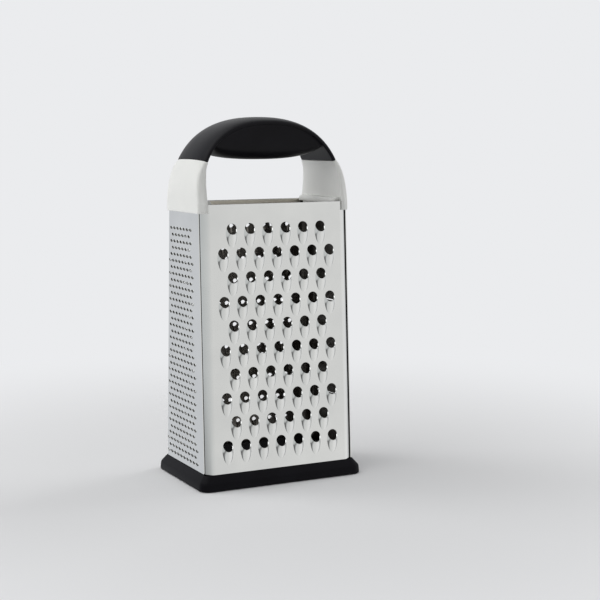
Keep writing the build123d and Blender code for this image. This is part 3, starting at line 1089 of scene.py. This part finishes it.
# the inside slot gets the painted-shade steel, the hem slot the hem's own rough steel
sheetInside = (paintedShadeInsideFinish, hemFinish)
dress(coarsePanel, steelFinish, "coarse_panel", sheetInside)
dress(mediumPanel, steelFinish, "medium_panel", sheetInside)
dress(finePanel, steelFinish, "fine_panel", sheetInside)
dress(slicerPanel, steelFinish, "slicer_panel", sheetInside)
dress(handlePiece, whiteFinish, "handle_frame")
dress(gripPiece, gripFinish, "grip_cover")
dress(footPiece, footFinish, "foot_ring")
dress(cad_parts["base_frame"], frameFinish)
dress(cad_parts["left_clamp_bar"], whiteFinish)
dress(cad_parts["right_clamp_bar"], whiteFinish)
dress(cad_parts["clamp_screws"], screwFinish)


# camera

shot = {
    "place": (-369.98, -796.68, 219.89),
    "azimuth": 26.70,
    "down": 6.93,
    "roll": -0.2156,
    "lens": 81.5,
    "sensor": 36.0,
    "nearest": 10.0,
}


def aimed(spec):
    azimuth, down, roll = (radians(spec[k]) for k in ("azimuth", "down", "roll"))
    forward = Vector((sin(azimuth) * cos(down), cos(azimuth) * cos(down), -sin(down)))
    right = Vector((cos(azimuth), -sin(azimuth), 0))
    up = right.cross(forward)
    turnedRight = right * cos(roll) + up * sin(roll)
    turnedUp = up * cos(roll) - right * sin(roll)
    turn = Matrix((turnedRight, turnedUp, -forward)).transposed().to_4x4()
    return Matrix.Translation(Vector(spec["place"]) * mm) @ turn


cameraData = bpy.data.cameras.new("camera")
cameraData.lens = shot["lens"]
cameraData.sensor_width = shot["sensor"]
cameraData.clip_start = shot["nearest"] * mm
camera = bpy.data.objects.new("camera", cameraData)
bpy.context.scene.collection.objects.link(camera)
camera.matrix_world = aimed(shot)
bpy.context.scene.camera = camera


# studio

# places and sizes in metres
studio = {
    "backdrop": (0.830, 0.838, 0.855),
    "skyLight": 0.41,
    "floorHalf": 6.0,
    "floorDrop": 0.0002,
    "floorShade": (0.77, 0.775, 0.785),
    "floorNear": 0.12,  # where the floor starts to melt into the backdrop
    "floorFar": 0.5,
    "aim": (0.0, 0.0, 0.1),
    "keyPlace": (-0.95, 0.1, 1.6),
    "keySize": 1.8,
    "keyPower": 14.0,
    "leftPlace": (-1.15, 0.95, 0.45),
    "rightPlace": (1.4, 0.2, 0.6),
    "sideSize": 0.8,
    "leftPower": 7.8,
    "rightPower": 8.0,
}

# what reflections show: a tone for each turn, in degrees from the front round to the left,
# and darkness under the horizon on two sides, as the turns where it starts, is full, fades and ends
around = {
    "turns": (-180, -142, -128, -104, -90, -40, -20, 20, 90, 150, 180),
    "tones": (
        (0.95, 0.95, 0.95),
        (0.95, 0.95, 0.95),
        (0.55, 0.55, 0.55),
        (0.55, 0.55, 0.55),
        (1.10, 1.10, 1.09),
        (1.10, 1.09, 1.06),
        (0.95, 0.945, 0.915),
        (0.84, 0.85, 0.83),
        (0.74, 0.76, 0.745),
        (0.80, 0.82, 0.845),
        (0.95, 0.95, 0.95),
    ),
    "dark": 0.18,
    "leftDark": (12, 40, 125, 155),
    "rightDark": (-179, -165, -95, -65),
    "below": (8, 17),  # how far under the horizon it starts and is full
}


def softBox(name, place, size, power):
    lamp = bpy.data.lights.new(name, "AREA")
    lamp.shape = "SQUARE"
    lamp.size = size
    lamp.energy = power
    made = bpy.data.objects.new(name, lamp)
    bpy.context.scene.collection.objects.link(made)
    aim = Vector(studio["aim"]) - Vector(place)
    turn = aim.to_track_quat("-Z", "Y").to_matrix().to_4x4()
    made.matrix_world = Matrix.Translation(place) @ turn
    return made


softBox("keyLight", studio["keyPlace"], studio["keySize"], studio["keyPower"])
for side in ("left", "right"):
    place, power = studio[side + "Place"], studio[side + "Power"]
    softBox(side + "Light", place, studio["sideSize"], power).visible_glossy = False


def seen(made):
    # 1 where a ray shows the surroundings themselves, 0 where it only lights the object
    path = made.node("ShaderNodeLightPath", {}, {})
    kinds = ("Is Camera Ray", "Is Glossy Ray", "Is Transmission Ray")
    direct, glossy, through = (path.beside(kind) for kind in kinds)
    return made.clamp(direct + glossy + through), glossy


def studioWorld():
    world = bpy.data.worlds.new("studio")
    bpy.context.scene.world = world
    made = Finish(world)
    direction = made.node("ShaderNodeTexCoord", {}, {}, "Generated")
    shows, glossy = seen(made)
    parts = made.node("ShaderNodeSeparateXYZ", {}, {0: direction})
    x, y, z = (parts.beside(axis) for axis in "XYZ")
    turn = made.angle(x * -1, y * -1)
    sunk = made.angle(z * -1, (x * x + y * y) ** 0.5)

    def risen(value, start, end):
        return made.clamp((value - radians(start)) / radians(end - start))

    def within(limits):
        start, full, fade, end = limits
        return risen(turn, start, full) * (1 - risen(turn, fade, end))

    stops = [((t + 180) / 360, tone) for t, tone in zip(around["turns"], around["tones"])]
    ringTone = made.node("ShaderNodeValToRGB", {"stops": stops}, {"Fac": (turn + pi) / (2 * pi)})
    reflected = made.scaled((*studio["backdrop"], 1), ringTone)
    sides = within(around["leftDark"]) + within(around["rightDark"])
    dark = made.clamp(sides * risen(sunk, *around["below"]))
    reflected = made.mixColor(dark, reflected, (around["dark"],) * 3 + (1,))
    backdrop = made.mixColor(glossy, (*studio["backdrop"], 1), reflected)
    plain = (studio["skyLight"],) * 3 + (1,)
    color = made.mixColor(shows, plain, backdrop)
    background = made.node("ShaderNodeBackground", {}, {"Color": color, "Strength": 1.0})
    made.node("ShaderNodeOutputWorld", {}, {"Surface": background})


def studioFloor():
    mesh = bpy.data.meshes.new("floor")
    half = studio["floorHalf"]
    corners = [(-half, -half, 0), (half, -half, 0), (half, half, 0), (-half, half, 0)]
    mesh.from_pydata(corners, [], [(0, 1, 2, 3)])
    floor = bpy.data.objects.new("floor", mesh)
    bpy.context.scene.collection.objects.link(floor)
    floor.location.z = -studio["floorDrop"]
    floor.visible_glossy = False  # reflections take the tones set round the studio instead
    made = newFinish("paleFloor")
    length = {"operation": "LENGTH"}
    distance = made.node("ShaderNodeVectorMath", length, {0: made.place()}, "Value")
    near, end = studio["floorNear"], studio["floorFar"]
    far = made.clamp((distance - near) / (end - near))
    far = far * far * (3 - 2 * far)  # eased at both ends
    shows, _ = seen(made)
    matt = made.node("ShaderNodeBsdfDiffuse", {}, {"Color": (*studio["floorShade"], 1)})
    glow = made.node("ShaderNodeEmission", {}, {"Color": (*studio["backdrop"], 1)})
    mixed = made.node("ShaderNodeMixShader", {}, {0: far * shows, 1: matt, 2: glow})
    made.node("ShaderNodeOutputMaterial", {}, {"Surface": mixed})
    mesh.materials.append(made.owner)


studioWorld()
studioFloor()
bpy.context.scene.view_settings.view_transform = "Standard"
print("studio ready")
